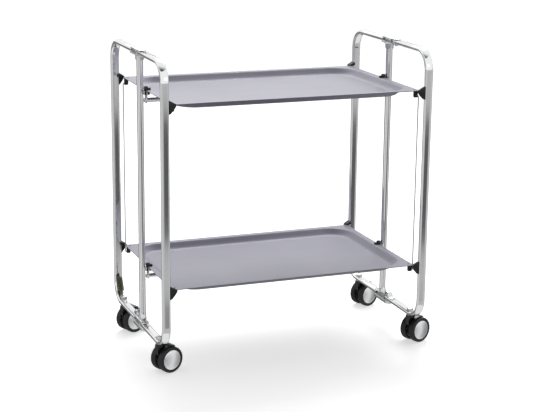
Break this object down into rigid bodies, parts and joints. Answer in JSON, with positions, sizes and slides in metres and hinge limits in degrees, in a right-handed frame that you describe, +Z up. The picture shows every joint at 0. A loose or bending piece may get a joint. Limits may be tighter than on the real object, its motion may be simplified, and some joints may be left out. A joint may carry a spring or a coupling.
{
  "type": "folding serving cart",
  "caption": "Folding serving cart with two shallow trays on oval chromed end frames, link rods, a latch strip and swivelling twin-wheel casters.",
  "frame": {"origin": "on the floor, at the middle of the whole length and depth", "axes": "+X along the trays towards the right end, +Y from the front to the rear, +Z up"},
  "size_m": [0.696, 0.412, 0.7189],
  "materials": {
    "black_plastic": "fine matt black",
    "bracket": "bright plated steel",
    "cap": "silver grey, satin gloss",
    "chrome": "polished chrome plate",
    "pin": "bright zinc-plated steel",
    "spring": "darkened spring wire",
    "tray": "satin lavender grey",
    "tyre": "matt black"
  },
  "bodies": {
    "root": {"left_post": "chrome", "right_post": "chrome", "left_top_bracket": "bracket", "right_top_bracket": "bracket", "left_foot_bracket": "bracket", "right_foot_bracket": "bracket", "pivot_pins": "pin"},
    "upper_tray_body": {"upper_tray": "tray", "upper_cross_bar": "chrome", "upper_pivot_clips": "black_plastic", "upper_rod_clips": "black_plastic"},
    "lower_tray_body": {"lower_tray": "tray", "lower_cross_bar": "chrome", "lower_pivot_clips": "black_plastic", "lower_rod_clips": "black_plastic"},
    "rear_left_rod_body": {"rear_left_link_rod": "pin"},
    "front_right_rod_body": {"front_right_link_rod": "pin"},
    "front_left_frame_body": {"front_left_half_frame": "chrome", "front_left_end_plugs": "black_plastic", "front_left_tray_holders": "black_plastic", "front_left_caster_stem": "pin"},
    "front_left_swivel_body": {"front_left_caster_hood": "black_plastic", "front_left_caster_axle": "pin"},
    "front_left_inner_wheel_body": {"front_left_inner_wheel": "cap", "front_left_inner_tyre": "tyre"},
    "front_left_outer_wheel_body": {"front_left_outer_wheel": "cap", "front_left_outer_tyre": "tyre"},
    "front_right_frame_body": {"front_right_half_frame": "chrome", "front_right_end_plugs": "black_plastic", "front_right_tray_holders": "black_plastic", "front_right_caster_stem": "pin"},
    "front_right_swivel_body": {"front_right_caster_hood": "black_plastic", "front_right_caster_axle": "pin"},
    "front_right_inner_wheel_body": {"front_right_inner_wheel": "cap", "front_right_inner_tyre": "tyre"},
    "front_right_outer_wheel_body": {"front_right_outer_wheel": "cap", "front_right_outer_tyre": "tyre"},
    "rear_left_frame_body": {"rear_left_half_frame": "chrome", "rear_left_end_plugs": "black_plastic", "rear_left_tray_holders": "black_plastic", "rear_left_caster_stem": "pin", "latch_spring": "spring"},
    "rear_left_swivel_body": {"rear_left_caster_hood": "black_plastic", "rear_left_caster_axle": "pin"},
    "rear_left_inner_wheel_body": {"rear_left_inner_wheel": "cap", "rear_left_inner_tyre": "tyre"},
    "rear_left_outer_wheel_body": {"rear_left_outer_wheel": "cap", "rear_left_outer_tyre": "tyre"},
    "rear_right_frame_body": {"rear_right_half_frame": "chrome", "rear_right_end_plugs": "black_plastic", "rear_right_tray_holders": "black_plastic", "rear_right_caster_stem": "pin"},
    "rear_right_swivel_body": {"rear_right_caster_hood": "black_plastic", "rear_right_caster_axle": "pin"},
    "rear_right_inner_wheel_body": {"rear_right_inner_wheel": "cap", "rear_right_inner_tyre": "tyre"},
    "rear_right_outer_wheel_body": {"rear_right_outer_wheel": "cap", "rear_right_outer_tyre": "tyre"},
    "latch_body": {"latch_strip": "pin"}
  },
  "joints": [
    {"name": "upper_tray_tilt", "type": "hinge", "parent": "root", "child": "upper_tray_body", "pos_m": [-0.01879, 0, 0.616], "axis": [-1, 0, 0], "range_deg": [0, 82]},
    {"name": "lower_tray_tilt", "type": "hinge", "parent": "root", "child": "lower_tray_body", "pos_m": [-0.01879, 0, 0.202], "axis": [-1, 0, 0], "range_deg": [0, 82]},
    {"name": "rear_left_rod_swing", "type": "hinge", "parent": "upper_tray_body", "child": "rear_left_rod_body", "pos_m": [-0.31679, 0.1825, 0.607], "axis": [-1, 0, 0], "range_deg": [-82, 0]},
    {"name": "front_right_rod_swing", "type": "hinge", "parent": "upper_tray_body", "child": "front_right_rod_body", "pos_m": [0.27921, -0.1825, 0.607], "axis": [-1, 0, 0], "range_deg": [-82, 0]},
    {"name": "front_left_fold", "type": "hinge", "parent": "root", "child": "front_left_frame_body", "pos_m": [-0.33179, -0.03, 0.075], "axis": [0, 0, 1], "range_deg": [0, 4]},
    {"name": "front_left_swivel", "type": "hinge", "parent": "front_left_frame_body", "child": "front_left_swivel_body", "pos_m": [-0.33179, -0.148, 0.06], "axis": [0, 0, 1], "continuous": true},
    {"name": "front_left_inner_spin", "type": "hinge", "parent": "front_left_swivel_body", "child": "front_left_inner_wheel_body", "pos_m": [-0.3177, -0.12824, 0.0305], "axis": [-0.342, 0.9397, 0], "continuous": true},
    {"name": "front_left_outer_spin", "type": "hinge", "parent": "front_left_swivel_body", "child": "front_left_outer_wheel_body", "pos_m": [-0.3083, -0.15408, 0.0305], "axis": [-0.342, 0.9397, 0], "continuous": true},
    {"name": "front_right_fold", "type": "hinge", "parent": "root", "child": "front_right_frame_body", "pos_m": [0.29421, -0.03, 0.075], "axis": [0, 0, 1], "range_deg": [-4, 0]},
    {"name": "front_right_swivel", "type": "hinge", "parent": "front_right_frame_body", "child": "front_right_swivel_body", "pos_m": [0.29421, -0.148, 0.06], "axis": [0, 0, 1], "continuous": true},
    {"name": "front_right_inner_spin", "type": "hinge", "parent": "front_right_swivel_body", "child": "front_right_inner_wheel_body", "pos_m": [0.3083, -0.12824, 0.0305], "axis": [-0.342, 0.9397, 0], "continuous": true},
    {"name": "front_right_outer_spin", "type": "hinge", "parent": "front_right_swivel_body", "child": "front_right_outer_wheel_body", "pos_m": [0.3177, -0.15408, 0.0305], "axis": [-0.342, 0.9397, 0], "continuous": true},
    {"name": "rear_left_fold", "type": "hinge", "parent": "root", "child": "rear_left_frame_body", "pos_m": [-0.33179, 0.03, 0.075], "axis": [0, 0, 1], "range_deg": [-4, 0]},
    {"name": "rear_left_swivel", "type": "hinge", "parent": "rear_left_frame_body", "child": "rear_left_swivel_body", "pos_m": [-0.33179, 0.148, 0.06], "axis": [0, 0, 1], "continuous": true},
    {"name": "rear_left_inner_spin", "type": "hinge", "parent": "rear_left_swivel_body", "child": "rear_left_inner_wheel_body", "pos_m": [-0.3083, 0.14192, 0.0305], "axis": [-0.342, 0.9397, 0], "continuous": true},
    {"name": "rear_left_outer_spin", "type": "hinge", "parent": "rear_left_swivel_body", "child": "rear_left_outer_wheel_body", "pos_m": [-0.3177, 0.16776, 0.0305], "axis": [-0.342, 0.9397, 0], "continuous": true},
    {"name": "rear_right_fold", "type": "hinge", "parent": "root", "child": "rear_right_frame_body", "pos_m": [0.29421, 0.03, 0.075], "axis": [0, 0, 1], "range_deg": [0, 4]},
    {"name": "rear_right_swivel", "type": "hinge", "parent": "rear_right_frame_body", "child": "rear_right_swivel_body", "pos_m": [0.29421, 0.148, 0.06], "axis": [0, 0, 1], "continuous": true},
    {"name": "rear_right_inner_spin", "type": "hinge", "parent": "rear_right_swivel_body", "child": "rear_right_inner_wheel_body", "pos_m": [0.3177, 0.14192, 0.0305], "axis": [-0.342, 0.9397, 0], "continuous": true},
    {"name": "rear_right_outer_spin", "type": "hinge", "parent": "rear_right_swivel_body", "child": "rear_right_outer_wheel_body", "pos_m": [0.3083, 0.16776, 0.0305], "axis": [-0.342, 0.9397, 0], "continuous": true},
    {"name": "latch_lift", "type": "hinge", "parent": "rear_left_frame_body", "child": "latch_body", "pos_m": [-0.33179, 0.148, 0.0841], "axis": [-1, 0, 0], "range_deg": [0, 5], "stiffness_Nm_per_rad": 0.6, "springref_deg": -17.19}
  ],
  "couplings": [
    {"joint": "lower_tray_tilt", "follows": "upper_tray_tilt", "ratio": 1},
    {"joint": "rear_left_rod_swing", "follows": "upper_tray_tilt", "ratio": -1},
    {"joint": "front_right_rod_swing", "follows": "upper_tray_tilt", "ratio": -1}
  ]
}
